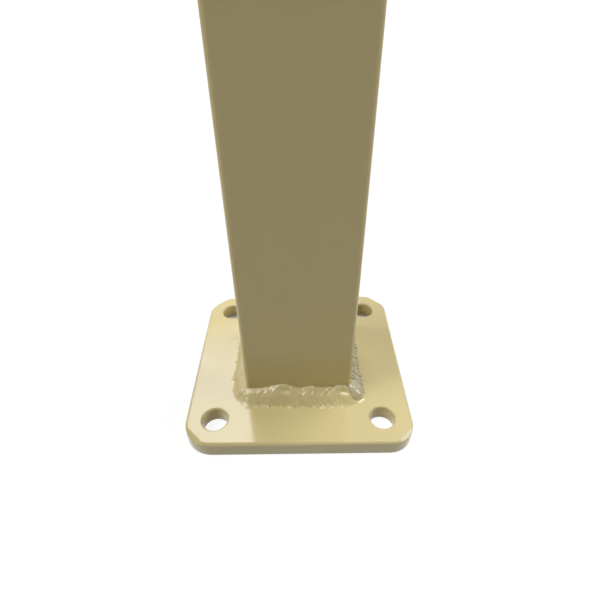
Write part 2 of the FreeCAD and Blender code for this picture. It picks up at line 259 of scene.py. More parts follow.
speck = node_in(coat_surface, "ShaderNodeTexVoronoi", {"Vector": on_piece, "Scale": 95.0, "Randomness": 1.0})
nib = node_in(
    coat_surface,
    "ShaderNodeMapRange",
    {"Value": speck.outputs["Distance"], "From Min": 0.0, "From Max": 0.035, "To Min": 0.8, "To Max": 0.0},
)
few = node_in(coat_surface, "ShaderNodeSeparateColor", {"Color": speck.outputs["Color"]})
chosen = node_in(coat_surface, "ShaderNodeMath", {0: few.outputs[0], 1: 0.9}, operation="GREATER_THAN")
raised = node_in(
    coat_surface, "ShaderNodeMath", {0: nib.outputs[0], 1: chosen.outputs[0]}, operation="MULTIPLY"
)
skin = node_in(coat_surface, "ShaderNodeMath", {0: peel.outputs[0], 1: raised.outputs[0]}, operation="ADD")
scaled = node_in(coat_surface, "ShaderNodeMath", {0: skin.outputs[0], 1: given["Peel"]}, operation="MULTIPLY")
coat_surface.links.new(scaled.outputs[0], taken["Height"])


def coat_material(name, coat, mottle, roughness, peel_share, bump_distance):
    """A coated finish: the shared surface feeds a plain Principled shader."""
    made = bpy.data.materials.new(name)
    made.use_nodes = True
    tree = made.node_tree
    shader = tree.nodes["Principled BSDF"]
    surface = node_in(tree, "ShaderNodeGroup")
    surface.node_tree = coat_surface
    surface.inputs["Coat"].default_value = (*coat, 1)
    surface.inputs["Mottle"].default_value = mottle
    surface.inputs["Gloss roughness"].default_value = roughness
    surface.inputs["Peel"].default_value = peel_share
    bump = node_in(tree, "ShaderNodeBump", {"Distance": bump_distance, "Height": surface.outputs["Height"]})
    tree.links.new(surface.outputs["Color"], shader.inputs["Base Color"])
    tree.links.new(surface.outputs["Roughness"], shader.inputs["Roughness"])
    tree.links.new(bump.outputs["Normal"], shader.inputs["Normal"])
    shader.inputs["IOR"].default_value = 1.5
    return made, surface


cream = (0.68, 0.575, 0.285)
plate_coat, plate_surface = coat_material(
    "cream_coat_on_plate", cream, mottle=0.05, roughness=0.13, peel_share=1.0, bump_distance=0.00004
)
# A faint rubbed mark on the plate, a few thin strokes beside the left run
mark_place = (-0.0455, 0.0195, plate_top)
mark_per_metre = (200.0, 480.0, 480.0)
tree = plate_coat.node_tree
on_plate = node_in(tree, "ShaderNodeTexCoord").outputs["Object"]
from_mark = node_in(tree, "ShaderNodeVectorMath", {0: on_plate, 1: mark_place}, operation="SUBTRACT")
stretched = node_in(
    tree, "ShaderNodeVectorMath", {0: from_mark.outputs[0], 1: mark_per_metre}, operation="MULTIPLY"
)
nearness = node_in(tree, "ShaderNodeVectorMath", {0: stretched.outputs[0]}, operation="LENGTH")
patch = node_in(
    tree,
    "ShaderNodeMapRange",
    {"Value": nearness.outputs["Value"], "From Min": 0.4, "From Max": 1.0, "To Min": 1.0, "To Max": 0.0},
)
strokes = node_in(tree, "ShaderNodeTexNoise", {"Vector": stretched.outputs[0], "Scale": 2.6, "Detail": 1.0})
thin = node_in(
    tree,
    "ShaderNodeMapRange",
    {"Value": strokes.outputs[0], "From Min": 0.47, "From Max": 0.56, "To Min": 0.0, "To Max": 0.2},
)
rubbed = node_in(tree, "ShaderNodeMath", {0: patch.outputs[0], 1: thin.outputs[0]}, operation="MULTIPLY")
left_over = node_in(tree, "ShaderNodeMath", {0: 1.0, 1: rubbed.outputs[0]}, operation="SUBTRACT")
marked = node_in(
    tree,
    "ShaderNodeVectorMath",
    {0: plate_surface.outputs["Color"], "Scale": left_over.outputs[0]},
    operation="SCALE",
)
tree.links.new(marked.outputs[0], tree.nodes["Principled BSDF"].inputs["Base Color"])
plate.data.materials.append(plate_coat)
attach(plate, "root")
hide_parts("base_plate")

# Square tube. A length of extruded aluminium box section with small outside corners and a thin
# even wall, sawn square at both ends and stood on the middle of the plate.
tube_low, tube_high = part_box("post_tube")
tube_half = tube_high.x
tube_corner = 0.003
tube_wall = 0.0025
bore_corner = 0.0008
merge_distance = 0.00001

tube_tree = bpy.data.node_groups.new("square_box_section", "GeometryNodeTree")
tube_sizes = {}
for name, value in (
    ("Width", 2 * tube_half),
    ("Corner", tube_corner),
    ("Wall", tube_wall),
    ("Bore corner", bore_corner),
    ("Length", tube_high.z - tube_low.z),
):
    socket = tube_tree.interface.new_socket(name, in_out="INPUT", socket_type="NodeSocketFloat")
    socket.default_value = value
    tube_sizes[socket.identifier] = value
finish = tube_tree.interface.new_socket("Finish", in_out="INPUT", socket_type="NodeSocketMaterial")
tube_tree.interface.new_socket("Tube", in_out="OUTPUT", socket_type="NodeSocketGeometry")
given = tube_tree.nodes.new("NodeGroupInput").outputs
taken = tube_tree.nodes.new("NodeGroupOutput").inputs
outside = node_in(
    tube_tree,
    "GeometryNodeCurvePrimitiveQuadrilateral",
    {"Width": given["Width"], "Height": given["Width"]},
)
outside = node_in(
    tube_tree,
    "GeometryNodeFilletCurve",
    {"Curve": outside.outputs[0], "Count": 20, "Radius": given["Corner"], "Limit Radius": True},
    mode="POLY",
)
bore_width = node_in(
    tube_tree, "ShaderNodeMath", {0: given["Wall"], 1: -2.0, 2: given["Width"]}, operation="MULTIPLY_ADD"
)
bore = node_in(
    tube_tree,
    "GeometryNodeCurvePrimitiveQuadrilateral",
    {"Width": bore_width.outputs[0], "Height": bore_width.outputs[0]},
)
bore = node_in(
    tube_tree,
    "GeometryNodeFilletCurve",
    {"Curve": bore.outputs[0], "Count": 8, "Radius": given["Bore corner"], "Limit Radius": True},
    mode="POLY",
)
outlines = node_in(tube_tree, "GeometryNodeJoinGeometry")
for outline in (outside, bore):
    tube_tree.links.new(outline.outputs[0], outlines.inputs[0])
section = node_in(tube_tree, "GeometryNodeFillCurve", {"Curve": outlines.outputs[0]}, mode="TRIANGLES")
upwards = node_in(tube_tree, "ShaderNodeCombineXYZ", {"Z": 1.0})
extruded = node_in(
    tube_tree,
    "GeometryNodeExtrudeMesh",
    {
        "Mesh": section.outputs[0],
        "Offset": upwards.outputs[0],
        "Offset Scale": given["Length"],
        "Individual": False,
    },
    mode="FACES",
)
foot_face = node_in(tube_tree, "GeometryNodeFlipFaces", {"Mesh": section.outputs[0]})
closed = node_in(tube_tree, "GeometryNodeJoinGeometry")
for part in (extruded.outputs["Mesh"], foot_face.outputs[0]):
    tube_tree.links.new(part, closed.inputs[0])
merged = node_in(
    tube_tree, "GeometryNodeMergeByDistance", {"Geometry": closed.outputs[0], "Distance": merge_distance}
)
smooth = node_in(
    tube_tree, "GeometryNodeSetShadeSmooth", {"Geometry": merged.outputs[0], "Shade Smooth": True}
)
realized = node_in(tube_tree, "GeometryNodeRealizeInstances", {"Geometry": smooth.outputs[0]})
dressed = node_in(
    tube_tree, "GeometryNodeSetMaterial", {"Geometry": realized.outputs[0], "Material": given["Finish"]}
)
tube_tree.links.new(dressed.outputs[0], taken["Tube"])


def grown(name, tree, sizes, start_mesh=None):
    """Runs a geometry tree with its named sizes and keeps the result as a plain mesh object."""
    seed = bpy.data.objects.new(name + "_seed", start_mesh or bpy.data.meshes.new(name + "_seed"))
    bpy.context.scene.collection.objects.link(seed)
    modifier = seed.modifiers.new(tree.name, "NODES")
    modifier.node_group = tree
    for identifier, value in sizes.items():
        modifier[identifier] = value
    data = bpy.data.meshes.new_from_object(seed.evaluated_get(bpy.context.evaluated_depsgraph_get()))
    data.name = name
    bpy.data.objects.remove(seed)
    thing = bpy.data.objects.new(name, data)
    bpy.context.scene.collection.objects.link(thing)
    return thing


# The tube's cream is the plate's made a little darker and warmer, painting in the warm shade on its faces
tube_cream = (0.67, 0.553, 0.262)
tube_coat, _ = coat_material(
    "cream_coat_on_tube", tube_cream, mottle=0.04, roughness=0.22, peel_share=1.0, bump_distance=0.00004
)
tube_coat.node_tree.nodes["Principled BSDF"].inputs["IOR"].default_value = 1.36
tube = grown("tube_dressed", tube_tree, {**tube_sizes, finish.identifier: tube_coat})
tube.data.transform(Matrix.Translation((0, 0, tube_low.z)))
tube.modifiers.new("flat_sides", "WEIGHTED_NORMAL").weight = 100
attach(tube, "root")
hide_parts("post_tube")

# Weld runs. Four fillet runs of aluminium filler join the tube's foot to the plate, laid one
# after another, anticlockwise from above. Each starts with a puddle wrapped round a corner,
# over the end of the run before it, and goes on as overlapping puddles with crescent edges.
weld_tree = bpy.data.node_groups.new("rippled_fillet_weld", "GeometryNodeTree")
weld_tree.interface.new_socket("Root line", in_out="INPUT", socket_type="NodeSocketGeometry")
weld_inputs = {}
for name, kind, value in (
    ("Steps along", "NodeSocketInt", 480),
    ("Steps across", "NodeSocketInt", 96),
    ("Root depth", "NodeSocketFloat", 0.0004),
    ("Toe flare", "NodeSocketFloat", 0.12),
    ("Toe flare angle", "NodeSocketFloat", 0.09),
    ("Toe tongue length", "NodeSocketFloat", 0.0028),
    ("Crescent depth", "NodeSocketFloat", 0.004),
    ("Nose share", "NodeSocketFloat", 0.36),
    ("Start lap", "NodeSocketFloat", 0.0022),
    ("End lap", "NodeSocketFloat", 0.0014),
    ("Hollow depth", "NodeSocketFloat", 0.0016),
    ("Fine ripple pitch", "NodeSocketFloat", 0.0015),
    ("Fine ripple depth", "NodeSocketFloat", 0.00004),
    ("Lump size", "NodeSocketFloat", 0.004),
    ("Lump depth", "NodeSocketFloat", 0.0003),
    ("Seed", "NodeSocketInt", 1),
    ("Finish", "NodeSocketMaterial", None),
):
    socket = weld_tree.interface.new_socket(name, in_out="INPUT", socket_type=kind)
    if value is not None:
        socket.default_value = value
    weld_inputs[name] = socket.identifier
weld_tree.interface.new_socket("Bead", in_out="OUTPUT", socket_type="NodeSocketGeometry")
given = weld_tree.nodes.new("NodeGroupInput").outputs
taken = weld_tree.nodes.new("NodeGroupOutput").inputs


class Reading:
    """A number that varies over the bead. Sums on it add Math nodes to the weld tree."""

    def __init__(self, socket):
        self.socket = socket

    def sum(self, operation, *others, clamp=False):
        terms = dict(enumerate([self.socket] + [getattr(other, "socket", other) for other in others]))
        node = node_in(weld_tree, "ShaderNodeMath", terms, operation=operation, use_clamp=clamp)
        return Reading(node.outputs[0])

    def __add__(self, other):
        return self.sum("ADD", other)

    def __sub__(self, other):
        return self.sum("SUBTRACT", other)

    def __mul__(self, other):
        return self.sum("MULTIPLY", other)

    def __truediv__(self, other):
        return self.sum("DIVIDE", other)

    def rest_of_one(self):
        return self.sum("MULTIPLY_ADD", -1.0, 1.0)


root_curve = node_in(weld_tree, "GeometryNodeMeshToCurve", {"Mesh": given["Root line"]}).outputs[0]
sheet = node_in(
    weld_tree,
    "GeometryNodeMeshGrid",
    {"Size X": 1.0, "Size Y": 1.0, "Vertices X": given["Steps along"], "Vertices Y": given["Steps across"]},
)
on_sheet = node_in(weld_tree, "GeometryNodeInputPosition").outputs[0]
place = node_in(weld_tree, "ShaderNodeSeparateXYZ", {"Vector": on_sheet})
total = Reading(node_in(weld_tree, "GeometryNodeCurveLength", {"Curve": root_curve}).outputs[0])


def spread(coordinate, steps):
    """0 to 1 over the sheet but for its border rows, and 1 on the sheet but 0 on the border."""
    row = Reading(steps).sum("SUBTRACT", 1.0).sum("POWER", -1.0)
    inner = ((Reading(coordinate) + 0.5) - row) / (row.sum("MULTIPLY_ADD", -2.0, 1.0))
    on_skin = Reading(coordinate).sum("ABSOLUTE").sum("LESS_THAN", row.sum("MULTIPLY_ADD", -0.5, 0.5))
    return inner.sum("MULTIPLY", 1.0, clamp=True), on_skin


along_share, on_length = spread(place.outputs["X"], given["Steps along"])
across_share, on_face = spread(place.outputs["Y"], given["Steps across"])
on_skin = on_length * on_face
along = along_share * total
across = across_share.sum("MULTIPLY_ADD", 2.0, -1.0)
# Across the bead the angle round the root runs from just under the plate's face, at -1 across, to
# just inside the tube's, at 1
angle = across_share.sum("MULTIPLY_ADD", math.radians(98), math.radians(-4))
above_plate = angle.sum("MAXIMUM", 0.0)


def sampled(attribute, length):
    """A measurement of the root line, read at a distance along it."""
    value = node_in(weld_tree, "GeometryNodeInputNamedAttribute", {"Name": attribute}, data_type="FLOAT")
    node = node_in(
        weld_tree,
        "GeometryNodeSampleCurve",
        {"Curves": root_curve, "Length": length.socket},
        mode="LENGTH",
        data_type="FLOAT",
    )
    weld_tree.links.new(value.outputs[0], node.inputs["Value"])
    return node


line = sampled("plate_leg", along)
plate_leg = Reading(line.outputs["Value"])
tube_leg = Reading(sampled("tube_leg", along).outputs["Value"])
skirt = Reading(sampled("skirt", along).outputs["Value"])
hollow = Reading(sampled("hollow", along).outputs["Value"])
trailing = along - across * across * given["Crescent depth"]
back_along = trailing.sum("MAXIMUM", 0.0)
phase = Reading(sampled("puddle", back_along).outputs["Value"])
step_height = Reading(sampled("step", back_along).outputs["Value"])
within = phase.sum("FRACT")
number = phase.sum("FLOOR")
# By luck, each puddle's edge stands at 0.8 to 1.2 of its height
luck = node_in(
    weld_tree,
    "FunctionNodeRandomValue",
    {"ID": number.socket, "Seed": given["Seed"]},
    data_type="FLOAT",
)
uneven = Reading(next(out for out in luck.outputs if out.enabled)).sum("MULTIPLY_ADD", 0.4, 0.8)
nose = node_in(
    weld_tree,
    "ShaderNodeMapRange",
    {"Value": within.socket, "From Max": given["Nose share"]},
    interpolation_type="SMOOTHSTEP",
)
rise = Reading(nose.outputs[0])
relief = rise * within.rest_of_one() * uneven * step_height
fine = (trailing / given["Fine ripple pitch"]).sum("MULTIPLY", 2 * math.pi).sum("SINE")
fine = fine * rise * given["Fine ripple depth"]
noise_spot = node_in(weld_tree, "ShaderNodeCombineXYZ", {0: along.socket, 1: (angle * plate_leg).socket})
noise_scale = Reading(given["Lump size"]).sum("POWER", -1.0)
seed_stride = 3.7
noise_seed = Reading(given["Seed"]) * seed_stride
lumps = node_in(
    weld_tree,
    "ShaderNodeTexNoise",
    {"Vector": noise_spot.outputs[0], "W": noise_seed.socket, "Scale": noise_scale.socket, "Detail": 2.0},
    noise_dimensions="4D",
)
lump = (Reading(lumps.outputs[0]) - 0.5) * 2.0 * given["Lump depth"]
hollow_place, hollow_width = 0.42, 0.3
sunk = (across - hollow_place) / hollow_width
sunk = (sunk * sunk).sum("MULTIPLY", -1.0).sum("EXPONENT") * hollow * given["Hollow depth"]
# A bead is full near the tube and leans down to the plate
bead_lean = 0.35
lean = across.sum("MULTIPLY_ADD", -bead_lean, 1.0)
arch = ((across * across).rest_of_one() * lean * skirt).rest_of_one()
# In the toe on the plate the coat pools in uneven tongues, from about none to twice its even depth
tongue_scale = Reading(given["Toe tongue length"]).sum("POWER", -1.0)
tongues = node_in(
    weld_tree,
    "ShaderNodeTexNoise",
    {"Vector": along.socket, "W": noise_seed.socket, "Scale": tongue_scale.socket, "Detail": 1.0},
    noise_dimensions="4D",
)
tongue = Reading(tongues.outputs[0]).sum("MULTIPLY_ADD", 5.0, -1.5)
pooled = (above_plate / given["Toe flare angle"]).sum("MULTIPLY", -1.0).sum("EXPONENT") * given["Toe flare"]
pooled = (pooled * tongue).sum("ADD", 1.0) / Reading(given["Toe flare"]).sum("ADD", 1.0)
start_gap = (along / given["Start lap"]).sum("MULTIPLY", 1.0, clamp=True).rest_of_one()
end_gap = ((total - along) / given["End lap"]).sum("MULTIPLY", 1.0, clamp=True).rest_of_one()
dome = ((start_gap * start_gap).rest_of_one() * (end_gap * end_gap).rest_of_one()).sum("SQRT")
proud = relief + fine + lump - sunk
outwards = (plate_leg * arch * pooled + proud) * dome * angle.sum("COSINE") * on_skin
upwards_share = (tube_leg * arch + proud) * dome * angle.sum("SINE") * on_skin
bury = on_skin.rest_of_one() * given["Root depth"]
side_way = node_in(
    weld_tree, "ShaderNodeVectorMath", {0: line.outputs["Tangent"], 1: (0, 0, 1)}, operation="CROSS_PRODUCT"
)
sideways = node_in(
    weld_tree,
    "ShaderNodeVectorMath",
    {0: side_way.outputs[0], "Scale": (outwards - bury).socket},
    operation="SCALE",
)
upright = node_in(weld_tree, "ShaderNodeCombineXYZ", {"Z": (upwards_share - bury).socket})
spot = line.outputs["Position"]
for shift in (sideways.outputs[0], upright.outputs[0]):
    spot = node_in(weld_tree, "ShaderNodeVectorMath", {0: spot, 1: shift}, operation="ADD").outputs[0]
painted_step_shade = node_in(
    weld_tree,
    "GeometryNodeStoreNamedAttribute",
    {"Geometry": sheet.outputs[0], "Name": "painted_step_shade"},
    data_type="FLOAT",
    domain="POINT",
)
# Shade is painted into the steps between puddles: a step of this height or more is darkened in full
dark_step_height = 0.0006
sharpness = (step_height / dark_step_height).sum("MULTIPLY", 1.0, clamp=True)
weld_tree.links.new((rise.rest_of_one() * sharpness).socket, painted_step_shade.inputs["Value"])
bead = painted_step_shade.outputs[0]
for kind, sockets in (
    ("GeometryNodeSetPosition", {"Position": spot}),
    ("GeometryNodeMergeByDistance", {"Distance": merge_distance}),
    ("GeometryNodeSetShadeSmooth", {"Shade Smooth": True}),
    ("GeometryNodeRealizeInstances", {}),
    ("GeometryNodeSetMaterial", {"Material": given["Finish"]}),
):
    bead = node_in(weld_tree, kind, {"Geometry": bead, **sockets}).outputs[0]
weld_tree.links.new(bead, taken["Bead"])

# How each run's bead changes along the tube's face: the distance from the end of the corner in
# millimetres, the legs on the plate and on the tube, how far the skirt sags, and any hollow.
straight_run = 2 * (tube_half - tube_corner) * 1000
front_shape = [
    (-8.0, 7.8, 6.8, 0.16, 0.0),
    (-4.7, 7.9, 6.8, 0.17, 0.0),
    (-2.9, 8.1, 6.8, 0.19, 0.0),
    (-1.9, 8.7, 6.9, 0.22, 0.0),
    (-1.2, 10.0, 6.9, 0.26, 0.0),
    (-0.4, 11.0, 6.9, 0.26, 0.0),
    (0.8, 9.9, 7.1, 0.23, 0.0),
    (3.2, 9.3, 7.2, 0.20, 0.0),
    (5.8, 8.5, 7.4, 0.18, 0.0),
    (8.3, 9.0, 7.7, 0.17, 0.0),
    (10.8, 9.5, 8.2, 0.17, 0.0),
    (14.4, 9.1, 9.7, 0.15, 0.0),
    (17.7, 8.7, 10.4, 0.13, 0.4),
    (21.8, 9.6, 10.4, 0.15, 1.0),
    (25.0, 10.4, 9.2, 0.18, 0.2),
    (28.8, 10.8, 7.4, 0.18, 0.0),
    (31.5, 9.8, 7.3, 0.13, 0.0),
    (35.0, 10.6, 8.5, 0.15, 0.0),
    (38.5, 10.4, 8.4, 0.16, 0.0),
    (42.0, 11.0, 7.4, 0.17, 0.0),
    (45.6, 10.6, 7.3, 0.18, 0.0),
    (50.0, 11.0, 7.4, 0.20, 0.0),
    (54.0, 10.8, 8.9, 0.22, 0.4),
    (58.0, 10.5, 9.4, 0.26, 1.0),
    (60.0, 9.8, 7.5, 0.20, 0.2),
    (60.7, 9.2, 5.0, 0.10, 0.0),
    (61.4, 9.5, 3.2, 0.10, 0.0),
    (62.3, 11.2, 2.4, 0.10, 0.0),
    (62.9, 11.8, 2.0, 0.10, 0.0),
    (63.5, 11.8, 1.8, 0.10, 0.0),
]
right_shape = [
    (-4.4, 7.6, 9.0, 0.02, 0.0),
    (-3.1, 8.2, 9.2, 0.02, 0.0),
    (-2.5, 8.8, 9.2, 0.02, 0.0),
    (-1.7, 9.8, 9.0, 0.02, 0.0),
    (-0.9, 9.5, 8.6, 0.03, 0.3),
    (0.5, 9.3, 8.2, 0.04, 0.0),
    (3.5, 9.2, 7.6, 0.05, 0.0),
    (10.3, 9.0, 7.2, 0.06, 0.0),
    (19.0, 8.1, 6.8, 0.06, 0.0),
    (34.0, 8.5, 7.0, 0.06, 0.0),
    (41.0, 8.9, 7.2, 0.06, 0.0),
    (52.0, 8.5, 7.0, 0.06, 0.0),
    (61.0, 7.8, 6.6, 0.06, 0.0),
]
back_shape = [
    (-3.9, 8.0, 7.4, 0.06, 0.0),
    (0.0, 8.6, 7.6, 0.06, 0.0),
    (8.0, 8.2, 7.2, 0.08, 0.0),
    (17.0, 8.5, 7.6, 0.08, 0.0),
    (26.0, 8.0, 7.2, 0.10, 0.3),
    (35.0, 8.4, 7.5, 0.08, 0.0),
    (44.0, 8.1, 7.1, 0.08, 0.0),
    (53.0, 8.5, 7.4, 0.08, 0.0),
    (61.0, 7.8, 7.0, 0.06, 0.0),
]
left_shape = [
    (-3.9, 8.4, 7.2, 0.06, 0.0),
    (0.0, 8.8, 7.4, 0.06, 0.0),
    (9.0, 9.2, 7.2, 0.08, 0.0),
    (18.6, 9.6, 7.2, 0.08, 0.0),
    (28.4, 9.3, 7.0, 0.08, 0.0),
    (36.7, 9.5, 7.2, 0.08, 0.0),
    (43.0, 9.9, 7.4, 0.08, 0.0),
    (47.3, 10.4, 7.4, 0.08, 0.0),
    (49.2, 10.0, 7.2, 0.08, 0.0),
    (51.1, 8.7, 7.0, 0.08, 0.0),
    (53.2, 9.1, 7.0, 0.08, 0.0),
    (55.6, 9.5, 7.0, 0.16, 0.0),
    (57.5, 9.2, 6.9, 0.16, 0.0),
    (59.3, 8.3, 6.8, 0.16, 0.0),
    (60.2, 8.6, 6.8, 0.16, 0.0),
    (61.0, 8.0, 6.8, 0.16, 0.0),
    (62.2, 7.8, 6.8, 0.16, 0.0),
    (63.6, 7.6, 6.8, 0.16, 0.0),
]
# Where each puddle of the front run starts, and how high its edge stands, both in millimetres
front_puddles = [
    (2.6, 0.3), (7.0, 0.2), (11.5, 0.4), (21.0, 0.3), (30.6, 0.75),
    (37.0, 0.5), (40.3, 0.45), (42.4, 0.45), (46.7, 0.6), (53.5, 0.3),
]
# A run's last puddle ends this far past the tube's straight face, in millimetres
run_out = 8.0
# The measurements are kept at points this far apart along the root, in millimetres
root_step = 0.25


def even_puddles(pitch, height):
    """Puddles of a run at one pitch, a little uneven in place and in height."""
    first_place, place_swing, height_swing = 0.4, 0.16, 0.3
    count = round(straight_run / pitch)
    made = []
    for step in range(count):
        place = (step + first_place + place_swing * math.sin(3.1 * step + pitch)) * straight_run / count
        made.append((place, height * (1 + height_swing * math.sin(2.4 * step + pitch))))
    return made


def eased_row(rows, distance):
    """The legs, skirt and hollow at one distance, easing from each row to the next."""
    for row, following in zip(rows, rows[1:]):
        if distance <= following[0]:
            share = (distance - row[0]) / (following[0] - row[0])
            eased = share * share * (3 - 2 * share)
            return [row[k] + (following[k] - row[k]) * eased for k in (1, 2, 3, 4)]
    return list(rows[-1][1:])


def puddle_count(puddles, start, distance):
    """The puddles behind a distance, counting shares, and how high the last one's edge stands."""
    edges = [(start, 0.0)] + puddles + [(straight_run + run_out, 0.0)]
    for number, (edge, following) in enumerate(zip(edges, edges[1:])):
        if distance < following[0]:
            return number + (distance - edge[0]) / (following[0] - edge[0]), edge[1]
    return len(edges) - 1.0, 0.0


def root_spot(distance):
    """Where the tube meets the plate, a distance along the front face from the end of its corner."""
    straight = tube_half - tube_corner
    arc = math.pi / 2 * tube_corner * 1000
    if distance < -arc:
        return Vector((-tube_half, -straight - (distance + arc) / 1000, plate_top))
    if distance < 0:
        bend, way = distance / 1000 / tube_corner, -straight
    elif distance > straight_run:
        bend, way = (distance - straight_run) / 1000 / tube_corner, straight
    else:
        return Vector((-straight + distance / 1000, -tube_half, plate_top))
    return Vector((way + tube_corner * math.sin(bend), -straight - tube_corner * math.cos(bend), plate_top))


def root_line(name, shape, puddles, turn):
    """The line where the tube meets the plate along one run, with its measurements."""
    start, stop = shape[0][0], shape[-1][0]
    count = round((stop - start) / root_step)
    spots = []
    measures = {label: [] for label in ("plate_leg", "tube_leg", "skirt", "hollow", "puddle", "step")}
    for step in range(count + 1):
        distance = start + (stop - start) * step / count
        spots.append(Matrix.Rotation(math.radians(turn), 3, "Z") @ root_spot(distance))
        on_plate, on_tube, skirt_share, hollow_share = eased_row(shape, distance)
        number, height = puddle_count(puddles, start, distance)
        found = on_plate / 1000, on_tube / 1000, skirt_share, hollow_share, number, height / 1000
        for label, value in zip(measures, found):
            measures[label].append(value)
    data = bpy.data.meshes.new(name)
    data.from_pydata(spots, [(k, k + 1) for k in range(len(spots) - 1)], [])
    for label, values in measures.items():
        data.attributes.new(label, "FLOAT", "POINT").data.foreach_set("value", values)
    return data


def weld_material(name, coat):
    """A coated weld, with shade painted into the steps between puddles, where the coat is a little darker."""
    made, surface = coat_material(
        name, coat, mottle=0.05, roughness=0.1, peel_share=0.5, bump_distance=0.00003
    )
    tree = made.node_tree
    # Painted shade: the coat is up to 7 percent darker in the steps between puddles
    in_step = node_in(tree, "ShaderNodeAttribute", attribute_name="painted_step_shade")
    darker = node_in(
        tree, "ShaderNodeMapRange", {"Value": in_step.outputs["Fac"], "To Min": 1.0, "To Max": 0.93}
    )
    step_shaded = node_in(
        tree,
        "ShaderNodeVectorMath",
        {0: surface.outputs["Color"], "Scale": darker.outputs[0]},
        operation="SCALE",
    )
    tree.links.new(step_shaded.outputs[0], tree.nodes["Principled BSDF"].inputs["Base Color"])
    return made, surface


# The weld's cream is the plate's made about a tenth lighter: painted light on its slopes, which face
# forwards, away from most lamps
lightened_weld_cream = (0.74, 0.625, 0.315)
# A greyer cream for the painted sheen on the right run
sheen_grey_weld_cream = (0.53, 0.475, 0.305)
lightened_weld_coat, _ = weld_material("cream_coat_on_weld", lightened_weld_cream)
# The right run's coat is painted greyer beyond its nose: a painted sheen of the bright light on its right
sheen_greyed_right_coat, sheen_greyed_surface = weld_material("sheen_greyed_coat_on_right_weld", sheen_grey_weld_cream)
tree = sheen_greyed_right_coat.node_tree
on_run = node_in(tree, "ShaderNodeTexCoord").outputs["Object"]
backwards = node_in(tree, "ShaderNodeSeparateXYZ", {"Vector": on_run})
sheen_spread = node_in(
    tree, "ShaderNodeMapRange", {"Value": backwards.outputs["Y"], "From Min": -0.041, "From Max": -0.034}
)
painted_sheen_ramp = node_in(tree, "ShaderNodeValToRGB", {"Fac": sheen_spread.outputs[0]})
painted_sheen_ramp.color_ramp.elements[0].color = (*lightened_weld_cream, 1)
painted_sheen_ramp.color_ramp.elements[1].color = (*sheen_grey_weld_cream, 1)
tree.links.new(painted_sheen_ramp.outputs[0], sheen_greyed_surface.inputs["Coat"])

for run, turn, shape, puddles, seed, crescent, ripple, lump_size, start_lap, end_lap in (
    ("front", 0, front_shape, front_puddles, 3, 0.0048, 0.00002, 0.004, 0.005, 0.0014),
    ("right", 90, right_shape, even_puddles(3.2, 1.0), 5, 0.004, 0.00012, 0.0026, 0.0013, 0.0014),
    ("back", 180, back_shape, even_puddles(5.6, 0.4), 8, 0.003, 0.00003, 0.004, 0.0022, 0.0014),
    ("left", 270, left_shape, even_puddles(6.5, 0.2), 11, 0.0026, 0.00001, 0.006, 0.0022, 0.0035),
):
    weld = grown(
        "weld_" + run + "_dressed",
        weld_tree,
        {
            weld_inputs["Crescent depth"]: crescent,
            weld_inputs["Fine ripple depth"]: ripple,
            weld_inputs["Lump size"]: lump_size,
            weld_inputs["Start lap"]: start_lap,
            weld_inputs["End lap"]: end_lap,
            weld_inputs["Seed"]: seed,
            weld_inputs["Finish"]: sheen_greyed_right_coat if run == "right" else lightened_weld_coat,
        },
        root_line("weld_" + run + "_root", shape, puddles, turn),
    )
    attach(weld, "root")
    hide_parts("weld_" + run)

# Cap. One moulded plastic piece pushed into the tube's top: a head as wide as the tube with an
# eased upper edge, a hollow skirt below it, and two grip fins round the skirt.
cap_low, cap_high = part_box("post_cap")
cap_seat = tube_high.z
cap_edge = 0.0015
skirt_clearance = 0.0016
skirt_half = tube_half - tube_wall - skirt_clearance
skirt_corner = 0.0025
skirt_wall = 0.0018
fin_clearance = 0.0001
fin_half = tube_half - tube_wall - fin_clearance
fin_corner = 0.0008
fin_thickness = 0.0012
fin_pitch = 0.007
# How far the moulding's edges are eased
hollow_ease = 0.0006
skirt_ease = 0.0003
fin_ease = 0.0004
head_ease = 0.0004
# Over the head's top edge its corners lose this share of what its sides lose
corner_share = 0.5
head_margin = 0.0006
cap_mesh = bmesh.new()
cap_ways = square_directions(tube_half, [tube_corner] * 4, arc_steps=16, side_steps=6)


def cap_ring(half, corner, height):
    ring = []
    for way in cap_ways:
        spot = way * square_reach(way, half, corner)
        ring.append(cap_mesh.verts.new((spot.x, spot.y, height)))
    return ring


# Half width, corner radius and height of each ring: from the hollow's roof down its wall, out round
# the skirt and the fins, and up over the head
hollow_half = skirt_half - skirt_wall
hollow_corner = skirt_corner - skirt_wall
skirt_foot = cap_low.z
sections = [
    (hollow_half - hollow_ease, hollow_corner, cap_seat),
    (hollow_half, hollow_corner, cap_seat - hollow_ease),
    (hollow_half, hollow_corner, skirt_foot + skirt_ease),
    (hollow_half + skirt_ease, hollow_corner, skirt_foot),
    (skirt_half - skirt_ease, skirt_corner, skirt_foot),
    (skirt_half, skirt_corner, skirt_foot + skirt_ease),
]
for fin in (2, 1):
    fin_top = cap_seat - fin * fin_pitch
    fin_foot = fin_top - fin_thickness
    sections += [
        (skirt_half, skirt_corner, fin_foot),
        (fin_half - skirt_ease, fin_corner, fin_foot),
        (fin_half, fin_corner, fin_foot + fin_ease),
        (fin_half, fin_corner, fin_top - fin_ease),
        (fin_half - skirt_ease, fin_corner, fin_top),
        (skirt_half, skirt_corner, fin_top),
    ]
sections += [
    (skirt_half, skirt_corner, cap_seat),
    (tube_half - head_ease, tube_corner, cap_seat),
    (tube_half - head_ease / 4, tube_corner, cap_seat + head_ease / 4),
    (tube_half, tube_corner, cap_seat + head_ease),
]
for inset, drop in reversed(rolled_edge(cap_edge, steps=8, roundness=0.8)):
    sections.append((tube_half - inset, tube_corner - inset * corner_share, cap_high.z - drop))
